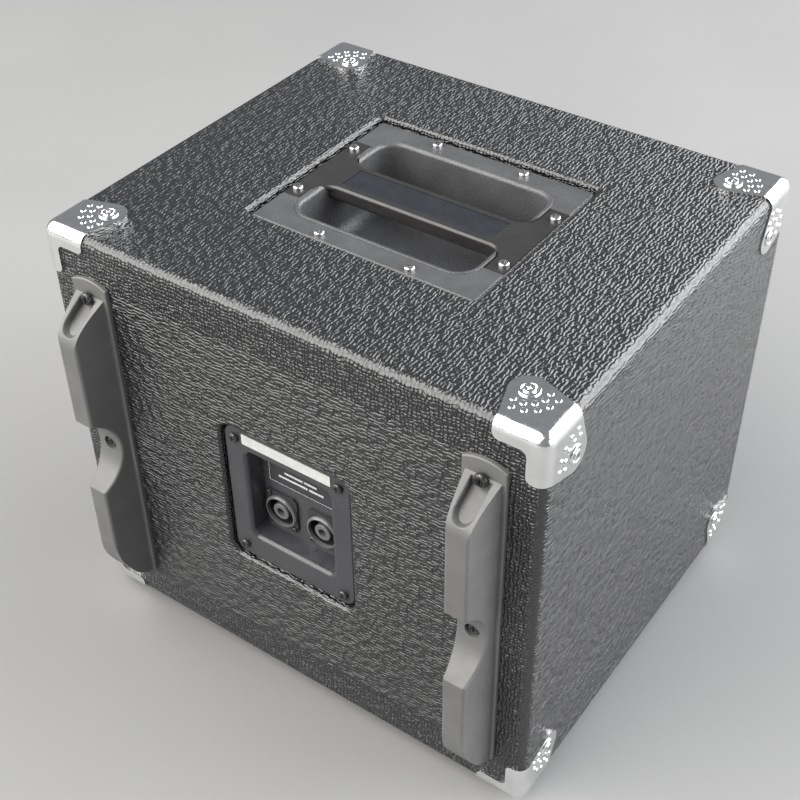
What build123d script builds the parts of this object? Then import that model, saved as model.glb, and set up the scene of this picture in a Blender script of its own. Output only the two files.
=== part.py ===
from build123d import *
import os

# Compact bass loudspeaker cabinet: ply box in textured vinyl, recessed bar handle on top,
# jack plate and two protective runners on the rear, steel corners, four sprung drivers
# behind a perforated grille.  Millimetres.  X is left to right, the drivers face -Y,
# +Z is up.  Each piece is drawn about the box's own bottom centre, and save() moves it
# into the shared frame, whose origin is the bottom centre of the whole object.

# cabinet
WIDTH = 375.0
DEPTH = 320.0
HEIGHT = 325.0
VINYL = 1.0
PLY = 15.0
BAFFLE = 18.0
EDGE_R = 7.0
GRILLE_RECESS = 22.0
FLAP = 33.0
SEAM = 0.3
FOOT_H = 10.0
FOOT_R = 16.0
FOOT_X = 120.0
FOOT_Y = 110.0
BRACE_HALF = 20.0
BRACE_Y = (66.0, 84.0)

# holes for screws
PILOT_R = 1.85
BIG_PILOT_R = 2.05
PASS_R = 2.1
BIG_PASS_R = 2.3
CORNER_PILOT = 14.0
FOOT_PILOT = 13.0

# handle
TRAY_X = 87.0
TRAY_Y = 74.5
TRAY_SINK = 3.0
TRAY_FLANGE = 4.5
TRAY_R = 3.0
DISH_X = 67.0
DISH_Y = 54.3
DISH_R = 14.0
DISH_DEPTH = 45.0
DISH_WALL = 2.5
BAR_Y = 16.0
BAR_T = 12.0
BAR_FLARE = 12.0
STRIP_T = 3.0
STRIP_Y = 40.5
PLATE_X = 59.3
PLATE_Y = 10.6
REBATE = 1.5
REBATE_ROLL = 3.0
LIP_H = 0.6
LIP_W = 3.8
SEAT_GAP = 0.2
TRAY_SCREWS = [(34.9, 67.4), (80.4, 31.4)]

# jack plate
JACK_X = 51.0
JACK_Z = 58.0
JACK_MID = 162.5
JACK_SINK = 3.5
JACK_T = 3.0
JACK_R = 9.0
JACK_SCREWS = (42.3, 49.0)
POT_X = 33.5
POT_Z = 37.5
POT_MID = 163.7
POT_DEPTH = 14.0
POT_WALL = 2.5
POT_ROLL = 3.5
POT_TAPER = 1.2
LABEL = (36.0, 4.2, 0.35)
LABEL_MID = 213.0
LEGEND = (28.0, 13.5, 0.5)
LEGEND_MID = 184.5
SOCKET_X = 17.6
SOCKET_Z = 148.0
SOCKET_HOLE = 12.2
SHELL_R = 12.0
SHELL_FACE = (26.0, 31.0)
SHELL_T = 1.5
SHELL_LONG = 31.0
RING_R = 12.9
RING_T = 2.6
CORE_LONG = 25.0
SOCKET_SCREW = (10.2, 12.6)
GROOVE_R = 11.2
POST_R = 6.5
JACK_BORE = 3.2

# runners
RUNNER_X = 150.5
RUNNER_OUT = 29.5
RUNNER_LOW = 33.0
RUNNER_HIGH = 293.0
RUNNER_FLANGE = 30.0
RUNNER_ROOT = 12.5
RUNNER_FACE = 8.0
VALLEY_R = 33.0
VALLEY_OUT = 42.5
VALLEY_Z = 161.5
RUNNER_SOFT = 1.6
POCKET_W = 13.0
POCKET_SOFT = 1.0
RUNNER_SCREWS = (283.0, 161.5)
FLANGE_OF_RUNNER = 3.0
UPPER_SEAT = 4.5
VALLEY_SEAT = 5.0

# corner protectors
CORNER_T = 1.2
LEG = 34.4
LIP = 12.3
TONGUE_AT = 30.0
TONGUE_R = 12.3
DOT_R = 2.0
DOT_ROWS = ((11.8, 31.0), (17.5, 24.0))

# drivers
DRIVER_X = 75.0
DRIVER_Z = 70.0
FLANGE_R = 65.0
FLANGE_T = 3.5
GASKET_T = 1.6
CUTOUT_R = 57.5
CONE_R = 46.0
COIL_R = 12.5
COIL_T = 0.6
POLE_R = 12.0
GAP_R = 13.7
MAGNET_R = 36.0
MAGNET_BORE_R = 19.0
PLATE_SEAT = 41.0
MAGNET_FRONT = 46.0
MAGNET_BACK = 59.0
SCREW_CIRCLE = 61.0

# grille
GRILLE_T = 1.2
GRILLE_SINK = 5.5
GRILLE_GAP = 0.8
HOLE_R = 5.0
HOLE_PITCH = 14.0
HOLE_MARGIN = 16.0
GRILLE_SCREW_IN = 7.0
BATTEN_W = 14.0
BATTEN_H = 6.0

# inside the box
WIRE_R = 1.9
WIRE_X = 22.4
WIRE_Y = 75.0
WIRE_BEND = 10.0
WADDING_T = 21.0
WADDING_GAP = 1.0
WADDING_Y = (-60.0, 120.0)
WADDING_Z = (40.0, 285.0)

# derived levels
SHIFT_Y = -(RUNNER_OUT - CORNER_T) / 2
BAFFLE_Y = -DEPTH / 2 + GRILLE_RECESS
INNER_X = WIDTH / 2 - VINYL - PLY
FLOOR_Z = VINYL + PLY
CEILING_Z = HEIGHT - VINYL - PLY
GRILLE_Y = -DEPTH / 2 + GRILLE_SINK
GRILLE_X = INNER_X - VINYL - GRILLE_GAP
GRILLE_Z = HEIGHT / 2 - FLOOR_Z - VINYL - GRILLE_GAP
TRAY_TOP = HEIGHT - TRAY_SINK
JACK_FACE = DEPTH / 2 - JACK_SINK
POT_FLOOR = JACK_FACE - POT_DEPTH


def box(x0, x1, y0, y1, z0, z1):
    return Pos((x0 + x1) / 2, (y0 + y1) / 2, (z0 + z1) / 2) * Box(x1 - x0, y1 - y0, z1 - z0)


def rod_y(r, x, z, y0, y1):
    return Pos(x, (y0 + y1) / 2, z) * Rot(90, 0, 0) * Cylinder(r, y1 - y0)


def rod_z(r, x, y, z0, z1):
    return Pos(x, y, (z0 + z1) / 2) * Cylinder(r, z1 - z0)


def rod_x(r, y, z, x0, x1):
    return Pos((x0 + x1) / 2, y, z) * Rot(0, 90, 0) * Cylinder(r, x1 - x0)


def slab_z(hx, hy, r, z0, z1):
    return extrude(Pos(0, 0, z0) * RectangleRounded(2 * hx, 2 * hy, r), amount=z1 - z0)


def slab_y(hx, hz, r, mid, y0, y1):
    face = Plane(origin=(0, y1, mid), x_dir=(1, 0, 0), z_dir=(0, 1, 0)) * RectangleRounded(
        2 * hx, 2 * hz, r
    )
    return extrude(face, amount=y0 - y1)


def signs():
    return [(sx, sy) for sx in (-1, 1) for sy in (-1, 1)]


def save(name, *pieces):
    solids = [s for p in pieces for s in p.solids()]
    moved = [s.moved(Location((0, SHIFT_Y, FOOT_H))) for s in solids]
    export_step(moved[0] if len(moved) == 1 else Compound(children=moved), f"parts/{name}.step")


# ---------------------------------------------------------------- screws


def cross_recess(r, depth):
    slot = Box(2 * r, r * 0.42, depth) + Box(r * 0.42, 2 * r, depth)
    return Pos(0, 0, -depth / 2) * slot


def pan_screw(head_r, head_h, shank_r, length):
    """Head underside at the origin, pointing up +Z."""
    head = Pos(0, 0, head_h / 2) * Cylinder(head_r, head_h)
    head = fillet(head.edges().group_by(Axis.Z)[-1], head_h * 0.55)
    shank = Pos(0, 0, -length / 2) * Cylinder(shank_r, length)
    shank = chamfer(shank.edges().group_by(Axis.Z)[0], shank_r * 0.6)
    return head + shank - Pos(0, 0, head_h) * cross_recess(head_r * 0.5, head_h * 0.6)


def facing(axis):
    turn = {
        "+z": Rot(0, 0, 0),
        "-z": Rot(180, 0, 0),
        "+y": Rot(-90, 0, 0),
        "-y": Rot(90, 0, 0),
        "+x": Rot(0, 90, 0),
        "-x": Rot(0, -90, 0),
    }
    return turn[axis]


def handle_screw_spots():
    return [(sx * x, sy * y) for x, y in TRAY_SCREWS for sx, sy in signs()]


def jack_screw_spots():
    return [(sx * JACK_SCREWS[0], JACK_MID + sz * JACK_SCREWS[1]) for sx, sz in signs()]


def socket_screw_spots():
    dx, dz = SOCKET_SCREW
    return [(sx * (SOCKET_X + sz * dx), SOCKET_Z + sz * dz) for sx, sz in signs()]


def runner_screw_spots():
    return [(sx * RUNNER_X, z) for sx in (-1, 1) for z in RUNNER_SCREWS]


def foot_spots():
    return [(sx * FOOT_X, sy * FOOT_Y) for sx, sy in signs()]


def driver_spots():
    return [(sx * DRIVER_X, HEIGHT / 2 + sz * DRIVER_Z) for sx, sz in signs()]


def corner_screw_spots():
    return [(sx * (WIDTH / 2 - TONGUE_AT), sy * (DEPTH / 2 - TONGUE_AT)) for sx, sy in signs()]


# ---------------------------------------------------------------- box


def rounded_block(shrink):
    block = Box(WIDTH - 2 * shrink, DEPTH - 2 * shrink, HEIGHT - 2 * shrink)
    return Pos(0, 0, HEIGHT / 2) * fillet(block.edges(), EDGE_R - shrink)


def rebated_block(shrink):
    """The box's outside with the handle's and the jack plate's rebates sunk into it.
    Shrunk by the vinyl's thickness it is the bare wood, whose rebates are that much larger."""
    block = rounded_block(shrink)
    gap = REBATE + shrink
    block -= slab_z(TRAY_X + gap, TRAY_Y + gap, TRAY_R + 1 + shrink, TRAY_TOP - TRAY_FLANGE, HEIGHT)
    block -= slab_y(JACK_X + gap, JACK_Z + gap, JACK_R + gap, JACK_MID, JACK_FACE - JACK_T, DEPTH / 2)
    top = block.edges().filter_by_position(Axis.Z, HEIGHT - shrink - 0.01, HEIGHT - shrink + 0.01)
    lip = [e for e in top if abs(e.center().X) < TRAY_X + 5 and abs(e.center().Y) < TRAY_Y + 5]
    back = DEPTH / 2 - shrink
    rear = block.edges().filter_by_position(Axis.Y, back - 0.01, back + 0.01)
    for edge in rear:
        at = edge.center()
        if abs(at.X) < JACK_X + 5 and abs(at.Z - JACK_MID) < JACK_Z + 5:
            lip.append(edge)
    return fillet(lip, REBATE_ROLL - shrink)


def corner_pilots():
    """Screw holes for the corner protectors, in the top, the bottom and the sides."""
    holes = []
    for x, y in corner_screw_spots():
        holes.append(rod_z(PILOT_R, x, y, HEIGHT - CORNER_PILOT, HEIGHT + 1))
        holes.append(rod_z(PILOT_R, x, y, -1, CORNER_PILOT))
        side = 1 if x > 0 else -1
        x0, x1 = sorted((side * WIDTH / 2, side * (WIDTH / 2 - CORNER_PILOT)))
        for z in (TONGUE_AT, HEIGHT - TONGUE_AT):
            holes.append(rod_x(PILOT_R, y, z, x0 - 0.01, x1 + 0.01))
    return holes


def panel_top():
    top = rebated_block(VINYL) & box(-WIDTH, WIDTH, -DEPTH, DEPTH, CEILING_Z, HEIGHT)
    hole = DISH_WALL + 1.5
    top -= slab_z(DISH_X + hole, DISH_Y + hole, DISH_R + hole, CEILING_Z - 1, HEIGHT)
    for x, y in handle_screw_spots():
        top -= rod_z(PILOT_R, x, y, CEILING_Z + 1, HEIGHT)
    return top - corner_pilots()


def panel_bottom():
    bottom = rounded_block(VINYL) & box(-WIDTH, WIDTH, -DEPTH, DEPTH, 0, FLOOR_Z)
    for x, y in foot_spots():
        bottom -= rod_z(BIG_PILOT_R, x, y, 0, FOOT_PILOT)
    return bottom - corner_pilots()


def panel_side(sign):
    slab = box(INNER_X, WIDTH, -DEPTH, DEPTH, FLOOR_Z, CEILING_Z)
    side = rounded_block(VINYL) & (slab if sign > 0 else mirror(slab, about=Plane.YZ))
    return side - corner_pilots()


def panel_rear():
    back = DEPTH / 2 - VINYL
    rear = rebated_block(VINYL) & box(-INNER_X, INNER_X, back - PLY, back, FLOOR_Z, CEILING_Z)
    hole = POT_WALL + 3.5
    rear -= slab_y(POT_X + hole, POT_Z + hole, 8.0, POT_MID, back - PLY - 1, DEPTH)
    for x, z in jack_screw_spots():
        rear -= rod_y(PILOT_R, x, z, back - PLY + 1, DEPTH)
    for x, z in runner_screw_spots():
        rear -= rod_y(BIG_PILOT_R, x, z, back - PLY + 1, DEPTH)
    return rear


def front_baffle():
    baffle = box(-INNER_X, INNER_X, BAFFLE_Y, BAFFLE_Y + BAFFLE, FLOOR_Z, CEILING_Z)
    for x, z in driver_spots():
        baffle -= rod_y(CUTOUT_R, x, z, BAFFLE_Y - 1, BAFFLE_Y + BAFFLE + 1)
        for screw_x, screw_z in screw_ring(x, z):
            baffle -= rod_y(PILOT_R, screw_x, screw_z, BAFFLE_Y - 1, BAFFLE_Y + 15)
    for x, z in grille_screw_spots():
        baffle -= rod_y(PILOT_R, x, z, BAFFLE_Y - 1, BAFFLE_Y + 10)
    return baffle


def panel_battens():
    """Glue strips in the box's upright corners."""
    battens = []
    for sx in (-1, 1):
        x0, x1 = sorted((sx * INNER_X, sx * (INNER_X - PLY)))
        rear = DEPTH / 2 - VINYL - PLY
        front = BAFFLE_Y + BAFFLE
        battens.append(box(x0, x1, rear - PLY, rear, FLOOR_Z, CEILING_Z))
        battens.append(box(x0, x1, front, front + PLY, FLOOR_Z, CEILING_Z))
    return battens


def brace_post():
    return box(-BRACE_HALF, BRACE_HALF, *BRACE_Y, FLOOR_Z, CEILING_Z)


def vinyl_wrap():
    """The sheet round the top, bottom and sides, with its flaps on the rear and its
    lining inside the grille's recess."""
    skin = rebated_block(0) - rebated_block(VINYL)
    skin -= box(-INNER_X, INNER_X, -DEPTH, 0, FLOOR_Z, CEILING_Z)
    lining = box(-INNER_X, INNER_X, -DEPTH / 2 + 0.5, BAFFLE_Y - 0.5, FLOOR_Z, CEILING_Z)
    lining -= box(
        -INNER_X + VINYL,
        INNER_X - VINYL,
        -DEPTH,
        0,
        FLOOR_Z + VINYL,
        CEILING_Z - VINYL,
    )
    skin += lining
    seam_x = WIDTH / 2 - FLAP
    skin -= box(-seam_x, seam_x, DEPTH / 4, DEPTH, FLAP, HEIGHT - FLAP)
    for x, y in foot_spots():
        skin -= rod_z(BIG_PILOT_R, x, y, -1, FOOT_PILOT)
    return skin - corner_pilots()


def vinyl_rear():
    """The sheet on the rear, laid between the flaps of the first."""
    seam_x = WIDTH / 2 - FLAP - SEAM
    low = FLAP + SEAM
    skin = rebated_block(0) - rebated_block(VINYL)
    sheet = skin & box(-seam_x, seam_x, DEPTH / 4, DEPTH, low, HEIGHT - low)
    for x, z in runner_screw_spots():
        sheet -= rod_y(BIG_PILOT_R, x, z, DEPTH / 4, DEPTH)
    return sheet


# ---------------------------------------------------------------- handle


def handle_plan(gap):
    """Plan of the H-shaped grip, or of the seat for it when a gap is given."""
    plan = Rectangle(2 * (TRAY_X - 1.5 + gap), 2 * (STRIP_Y + gap))
    mouth_y = BAR_Y + STRIP_Y
    for sign in (-1, 1):
        mouth = RectangleRounded(2 * (DISH_X + 4 - gap), 2 * (STRIP_Y - gap), BAR_FLARE)
        plan -= Pos(0, sign * mouth_y) * mouth
    return plan


def over_dish(edges, reach):
    """The edges within the dish's plan, taken outwards by reach."""
    return [e for e in edges if abs(e.center().X) < DISH_X + reach and abs(e.center().Y) < DISH_Y + reach]


def handle_tray():
    top = TRAY_TOP
    flange = slab_z(TRAY_X, TRAY_Y, TRAY_R, top - TRAY_FLANGE, top)
    flange = chamfer(flange.edges().group_by(Axis.Z)[-1], 1.8)
    lip = slab_z(DISH_X + LIP_W, DISH_Y + LIP_W, DISH_R + LIP_W, top - 1, top + LIP_H)
    lip = fillet(lip.edges().group_by(Axis.Z)[-1], LIP_H - 0.1)
    floor = top - DISH_DEPTH
    grow = DISH_WALL
    pot = slab_z(DISH_X + grow, DISH_Y + grow, DISH_R + grow, floor - grow, top - 1)
    pot = fillet(pot.edges().group_by(Axis.Z)[0], DISH_R)
    hollow = slab_z(DISH_X, DISH_Y, DISH_R, floor, top + LIP_H)
    hollow = fillet(hollow.edges().group_by(Axis.Z)[0], DISH_R - grow)
    body = flange + lip + pot - hollow
    rim = body.edges().filter_by_position(Axis.Z, top + LIP_H - 0.01, top + LIP_H + 0.01)
    body = fillet(over_dish(rim, 1), 3.0)
    body -= extrude(Pos(0, 0, top - STRIP_T) * handle_plan(SEAT_GAP), amount=STRIP_T + 2)
    for x, y in handle_screw_spots():
        body -= rod_z(PASS_R, x, y, top - 9, top + 1)
    return body


def handle_bar():
    """Grip bar with a flat flared foot at each end, all of one moulding."""
    plate = extrude(Pos(0, 0, TRAY_TOP - STRIP_T) * handle_plan(0), amount=STRIP_T)
    profile = fillet(Rectangle(2 * BAR_Y, BAR_T).vertices().group_by(Axis.Y)[0], 4.0)
    middle = TRAY_TOP - BAR_T / 2
    start = Plane(origin=(-DISH_X + 0.15, 0, middle), x_dir=(0, 1, 0), z_dir=(1, 0, 0))
    bar = plate + extrude(start * profile, amount=2 * DISH_X - 0.3)
    top = bar.edges().filter_by_position(Axis.Z, TRAY_TOP - 0.01, TRAY_TOP + 0.01)
    mouths = [e for e in top if abs(e.center().X) < DISH_X + 5 and abs(e.center().Y) < STRIP_Y - 2]
    bar = fillet(mouths, STRIP_T - 0.6)
    bar -= box(-PLATE_X - 0.2, PLATE_X + 0.2, -PLATE_Y - 0.2, PLATE_Y + 0.2, TRAY_TOP - 1, TRAY_TOP)
    x, y = TRAY_SCREWS[1]
    for sx, sy in signs():
        bar -= rod_z(PASS_R, sx * x, sy * y, TRAY_TOP - 9, TRAY_TOP + 1)
    return bar


def name_plate():
    plate = slab_z(PLATE_X, PLATE_Y, 0.8, TRAY_TOP - 1, TRAY_TOP - 0.3)
    return chamfer(plate.edges().group_by(Axis.Z)[-1], 0.25)


def handle_screws():
    screws = []
    for x, y in handle_screw_spots():
        screws.append(Pos(x, y, TRAY_TOP) * pan_screw(3.6, 2.4, 1.8, 12.0))
    return screws


# ---------------------------------------------------------------- jack plate


def jack_pot(grow, y_front, y_back):
    """The tapered pocket, or its outside when grow is the wall's thickness."""
    wide = Plane(origin=(0, y_front, POT_MID), x_dir=(1, 0, 0), z_dir=(0, -1, 0))
    tight = Plane(origin=(0, y_back, POT_MID), x_dir=(1, 0, 0), z_dir=(0, -1, 0))
    wider, tighter = grow + POT_TAPER, grow - POT_TAPER
    mouth = RectangleRounded(2 * (POT_X + wider), 2 * (POT_Z + wider), 6 + grow)
    base = RectangleRounded(2 * (POT_X + tighter), 2 * (POT_Z + tighter), 4 + grow)
    return loft([wide * mouth, tight * base])


def jack_plate():
    flange = slab_y(JACK_X, JACK_Z, JACK_R, JACK_MID, JACK_FACE - JACK_T, JACK_FACE)
    flange = fillet(flange.edges().group_by(Axis.Y)[-1], 1.2)
    back = POT_FLOOR
    body = flange + jack_pot(POT_WALL, JACK_FACE - JACK_T / 2, back - POT_WALL)
    body -= jack_pot(0, JACK_FACE, back)
    face_edges = body.edges().filter_by_position(Axis.Y, JACK_FACE - 0.05, JACK_FACE + 0.05)
    mouth = [
        e
        for e in face_edges
        if abs(e.center().X) < POT_X + 2 and abs(e.center().Z - POT_MID) < POT_Z + 2
    ]
    body = fillet(mouth, POT_ROLL)
    for sx in (-1, 1):
        body -= rod_y(SOCKET_HOLE, sx * SOCKET_X, SOCKET_Z, back - 5, back + 1)
    for x, z in socket_screw_spots():
        body -= rod_y(1.3, x, z, back - 5, back + 1)
    for x, z in jack_screw_spots():
        body -= rod_y(PASS_R, x, z, JACK_FACE - 5, JACK_FACE + 1)
    return body


def label_strip():
    half_x, half_z, thick = LABEL
    return slab_y(half_x, half_z, 0.6, LABEL_MID, JACK_FACE, JACK_FACE + thick)


def legend_plate():
    half_x, half_z, thick = LEGEND
    plate = slab_y(half_x, half_z, 3.0, LEGEND_MID, POT_FLOOR, POT_FLOOR + thick)
    outer = half_x - 1.0, half_z - 1.0, 2.4
    inner = half_x - 1.7, half_z - 1.7, 2.0
    ridge = slab_y(*outer, LEGEND_MID, POT_FLOOR + thick / 2, POT_FLOOR + thick + 0.3)
    ridge -= slab_y(*inner, LEGEND_MID, POT_FLOOR, POT_FLOOR + 1)
    return plate + ridge


def socket_shell(x):
    """Flanged body of a speaker socket, with two solder tags at its rear."""
    plate = Plane(origin=(x, POT_FLOOR, SOCKET_Z), x_dir=(1, 0, 0), z_dir=(0, 1, 0))
    flange = extrude(plate * chamfer(Rectangle(*SHELL_FACE).vertices(), 3.2), amount=SHELL_T)
    end = POT_FLOOR - SHELL_LONG
    shell = flange + rod_y(SHELL_R, x, SOCKET_Z, end, POT_FLOOR)
    shell -= rod_y(GROOVE_R, x, SOCKET_Z, end + 2, POT_FLOOR + 3)
    for screw_x, screw_z in socket_screw_spots():
        if screw_x * x > 0:
            shell -= rod_y(1.3, screw_x, screw_z, POT_FLOOR - 1, POT_FLOOR + 2)
    for tag in (x - 4.6, x + 4.6):
        shell += box(tag - 2, tag + 2, end - 4, end + 0.5, SOCKET_Z - 3, SOCKET_Z + 3)
    return shell


def socket_ring(x):
    face = POT_FLOOR + SHELL_T
    ring = rod_y(RING_R, x, SOCKET_Z, face, face + RING_T)
    ring = chamfer(ring.edges().group_by(Axis.Y)[-1], 1.0)
    return ring - rod_y(GROOVE_R, x, SOCKET_Z, face - 1, face + 5)


def socket_core(x):
    """Middle post with the jack's bore, on the disc that closes the shell."""
    end = POT_FLOOR - CORE_LONG
    post = rod_y(POST_R, x, SOCKET_Z, end, POT_FLOOR + 3.2)
    post = fillet(post.edges().group_by(Axis.Y)[-1], 0.8)
    core = post + rod_y(GROOVE_R - 0.05, x, SOCKET_Z, end - 4, end)
    return core - rod_y(JACK_BORE, x, SOCKET_Z, end - 3, POT_FLOOR + 5)


def socket_screws():
    screw = pan_screw(2.2, 1.4, 1.25, 6.0)
    spots = socket_screw_spots()
    return [Pos(x, POT_FLOOR + SHELL_T, z) * facing("+y") * screw for x, z in spots]


def jack_plate_screws():
    screws = []
    for x, z in jack_screw_spots():
        screws.append(Pos(x, JACK_FACE, z) * facing("+y") * pan_screw(3.8, 2.6, 1.8, 11.5))
    return screws


# ---------------------------------------------------------------- runners


def runner_side_profile():
    """Side view: distance out from the box against height."""
    with BuildLine() as line:
        Polyline((0, RUNNER_LOW), (4.0, RUNNER_LOW))
        Spline(
            (4.0, RUNNER_LOW),
            (14.0, 38.5),
            (22.5, 52.0),
            (RUNNER_OUT, 78.0),
            tangents=((1, 0.2), (0.12, 1)),
        )
        Line((RUNNER_OUT, 78.0), (RUNNER_OUT, 257.0))
        Spline(
            (RUNNER_OUT, 257.0),
            (24.0, 269.5),
            (3.0, 284.0),
            tangents=((0, 1), (-1.0, 0.6)),
        )
        Polyline((3.0, 284.0), (0, 284.0), (0, RUNNER_LOW))
    return make_face(line.edges())


def on_valley(edge):
    """Whether an edge bounds the round valley across the runner's middle."""
    spots = [edge @ share for share in (0.05, 0.5, 0.95)]
    reach = [((p.Y - VALLEY_OUT) ** 2 + (p.Z - VALLEY_Z) ** 2) ** 0.5 for p in spots]
    return all(abs(r - VALLEY_R) < 0.02 for r in reach)


def on_pocket_mouth(edge):
    """Whether an edge is one of the three curved ones round the upper screw's pocket."""
    at = edge.center()
    side = abs(abs(at.X) - POCKET_W / 2) < 0.1 and at.Y > 12 and at.Z > 275
    foot = abs(at.X) < 0.1 and at.Y > 26 and at.Z > 262
    return edge.geom_type == GeomType.BSPLINE and (side or foot)


def runner():
    """One runner, centred on X, with the box's rear face at its Y = 0."""
    flange_plan = Rectangle(RUNNER_FLANGE, RUNNER_HIGH - RUNNER_LOW)
    flange_plan = fillet(flange_plan.vertices(), 3.0)
    arch = Pos(0, (RUNNER_HIGH - RUNNER_LOW) / 2 - 28.0) * Circle(31.0)
    flange_plan += arch & (Pos(0, (RUNNER_HIGH - RUNNER_LOW) / 2) * Rectangle(RUNNER_FLANGE, 20.0))
    mid = (RUNNER_LOW + RUNNER_HIGH) / 2
    rear = Plane(origin=(0, 0, mid), x_dir=(-1, 0, 0), z_dir=(0, 1, 0))
    flange = extrude(rear * flange_plan, amount=FLANGE_OF_RUNNER)
    flange = fillet(flange.edges().group_by(Axis.Y)[-1], 1.2)
    corners = ((-RUNNER_ROOT, 0), (RUNNER_ROOT, 0), (RUNNER_FACE, RUNNER_OUT), (-RUNNER_FACE, RUNNER_OUT))
    section = make_face(Polyline(*corners, close=True).edges())
    outer = [v for v in section.vertices() if v.Y > 1]
    section = fillet(outer, 2.2)
    body = extrude(Pos(0, 0, RUNNER_LOW - 1) * section, amount=RUNNER_HIGH - RUNNER_LOW)
    side = Plane(origin=(-30, 0, 0), x_dir=(0, 1, 0), z_dir=(1, 0, 0)) * runner_side_profile()
    body &= extrude(side, amount=60)
    body -= rod_x(VALLEY_R, VALLEY_OUT, VALLEY_Z, -30, 30)
    body = fillet([e for e in body.edges() if on_valley(e)], RUNNER_SOFT)
    piece = body + flange
    piece -= rod_y(5.4, 0, RUNNER_SCREWS[1], VALLEY_SEAT, 30)
    piece -= runner_screw_pocket()
    piece = fillet([e for e in piece.edges() if on_pocket_mouth(e)], POCKET_SOFT)
    for z in RUNNER_SCREWS:
        piece -= rod_y(BIG_PASS_R, 0, z, -1, 12)
    return piece


def runner_screw_pocket():
    """Sloping slot at the top end that gives a driver access to the upper screw."""
    with BuildLine() as line:
        Polyline((UPPER_SEAT, 300), (UPPER_SEAT, 276), (24.0, 264.5), (40, 264.5), (40, 300), close=True)
    side = Plane(origin=(-20, 0, 0), x_dir=(0, 1, 0), z_dir=(1, 0, 0)) * make_face(line.edges())
    wedge = extrude(side, amount=40)
    upright = Plane(origin=(0, 0, 277.5), x_dir=(0, 0, 1), z_dir=(0, 1, 0))
    return wedge & extrude(upright * SlotOverall(25.5, POCKET_W), amount=40)


def runner_screws():
    screws = []
    for x, z in runner_screw_spots():
        seat = UPPER_SEAT if z == RUNNER_SCREWS[0] else VALLEY_SEAT
        screw = pan_screw(4.6, 3.2, 2.0, seat + 12.0)
        screws.append(Pos(x, DEPTH / 2 + seat, z) * facing("+y") * screw)
    return screws


# ---------------------------------------------------------------- corner protectors


def tongue_plan():
    """Plan of one pressed face, measured from the box's two edges."""
    at, r, leg = TONGUE_AT, TONGUE_R, LEG
    strap = make_face(
        Polyline((-3, -3), (leg, -3), (leg, 5), (at + r * 0.98, at - r * 0.2),
                 (at - r * 0.2, at + r * 0.98), (5, leg), (-3, leg), close=True).edges()
    )
    return strap + Pos(at, at) * Circle(r)


def lip_plan():
    """Plan of the narrow L-shaped face, measured the same way."""
    leg, lip = LEG, LIP
    plan = make_face(
        Polyline((-3, -3), (leg, -3), (leg, lip), (lip, lip), (lip, leg), (-3, leg), close=True).edges()
    )
    rounded = [v for v in plan.vertices() if v.X > -2 and v.Y > -2]
    return fillet(rounded, 4.5)


def pressed_dots():
    """Raised dots in two arcs and the ring round the screw, all on one tongue."""
    dots = []
    for r, spread in DOT_ROWS:
        for n in range(-2, 3):
            spot = Pos(TONGUE_AT, TONGUE_AT) * Rot(0, 0, 225 + n * spread) * Pos(r, 0)
            dot = Pos(0, 0, -0.2) * Cylinder(DOT_R, 1.8)
            dots.append(spot * fillet(dot.edges().group_by(Axis.Z)[-1], 0.6))
    boss = Pos(0, 0, 0.1) * (Cylinder(6.6, 2.0) - Cylinder(4.6, 4.0))
    boss = fillet(boss.edges().group_by(Axis.Z)[-1], 0.5)
    dots.append(Pos(TONGUE_AT, TONGUE_AT) * boss)
    return dots


def corner_master():
    """The corner at the origin, with the box running to +X, +Y and +Z from it.
    The faces on Z = 0 and X = 0 have tongues, and the face on Y = 0 has the lip."""
    far = 60.0
    core = box(0, far, 0, far, 0, far)
    shell = box(-CORNER_T, far, -CORNER_T, far, -CORNER_T, far)
    core = fillet(near_edges(core, 0), EDGE_R)
    shell = fillet(near_edges(shell, -CORNER_T), EDGE_R + CORNER_T)
    shell -= core
    base = Plane(origin=(0, 0, 0), x_dir=(0, 1, 0), z_dir=(0, 0, -1))
    side = Plane(origin=(0, 0, 0), x_dir=(0, 0, 1), z_dir=(-1, 0, 0))
    back = Plane(origin=(0, 0, 0), x_dir=(1, 0, 0), z_dir=(0, -1, 0))
    keep = extrude(base * tongue_plan(), amount=3) + extrude(base * tongue_plan(), amount=-EDGE_R)
    keep += extrude(side * tongue_plan(), amount=3) + extrude(side * tongue_plan(), amount=-EDGE_R)
    keep += extrude(back * lip_plan(), amount=3) + extrude(back * lip_plan(), amount=-EDGE_R)
    piece = shell & keep
    for face in (base, side):
        for dot in pressed_dots():
            piece += (face * Pos(0, 0, CORNER_T - 0.1) * dot) - core
    piece -= rod_z(BIG_PASS_R, TONGUE_AT, TONGUE_AT, -5, 5)
    return piece - rod_x(BIG_PASS_R, TONGUE_AT, TONGUE_AT, -5, 5)


def near_edges(block, at):
    """The three edges that meet at the corner nearest the origin."""
    corner = Vector(at, at, at)
    return [
        e
        for e in block.edges()
        if any((Vector(*tuple(v)) - corner).length < 0.01 for v in e.vertices())
    ]


def corner_protectors(level):
    """Four pressed steel corners: at the top, or at the bottom."""
    first = Pos(-WIDTH / 2, -DEPTH / 2, 0) * corner_master()
    if level == "top":
        first = mirror(first, about=Plane(origin=(0, 0, HEIGHT / 2), z_dir=(0, 0, 1)))
    row = [first, mirror(first, about=Plane.YZ)]
    return row + [mirror(c, about=Plane.XZ) for c in row]


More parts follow.
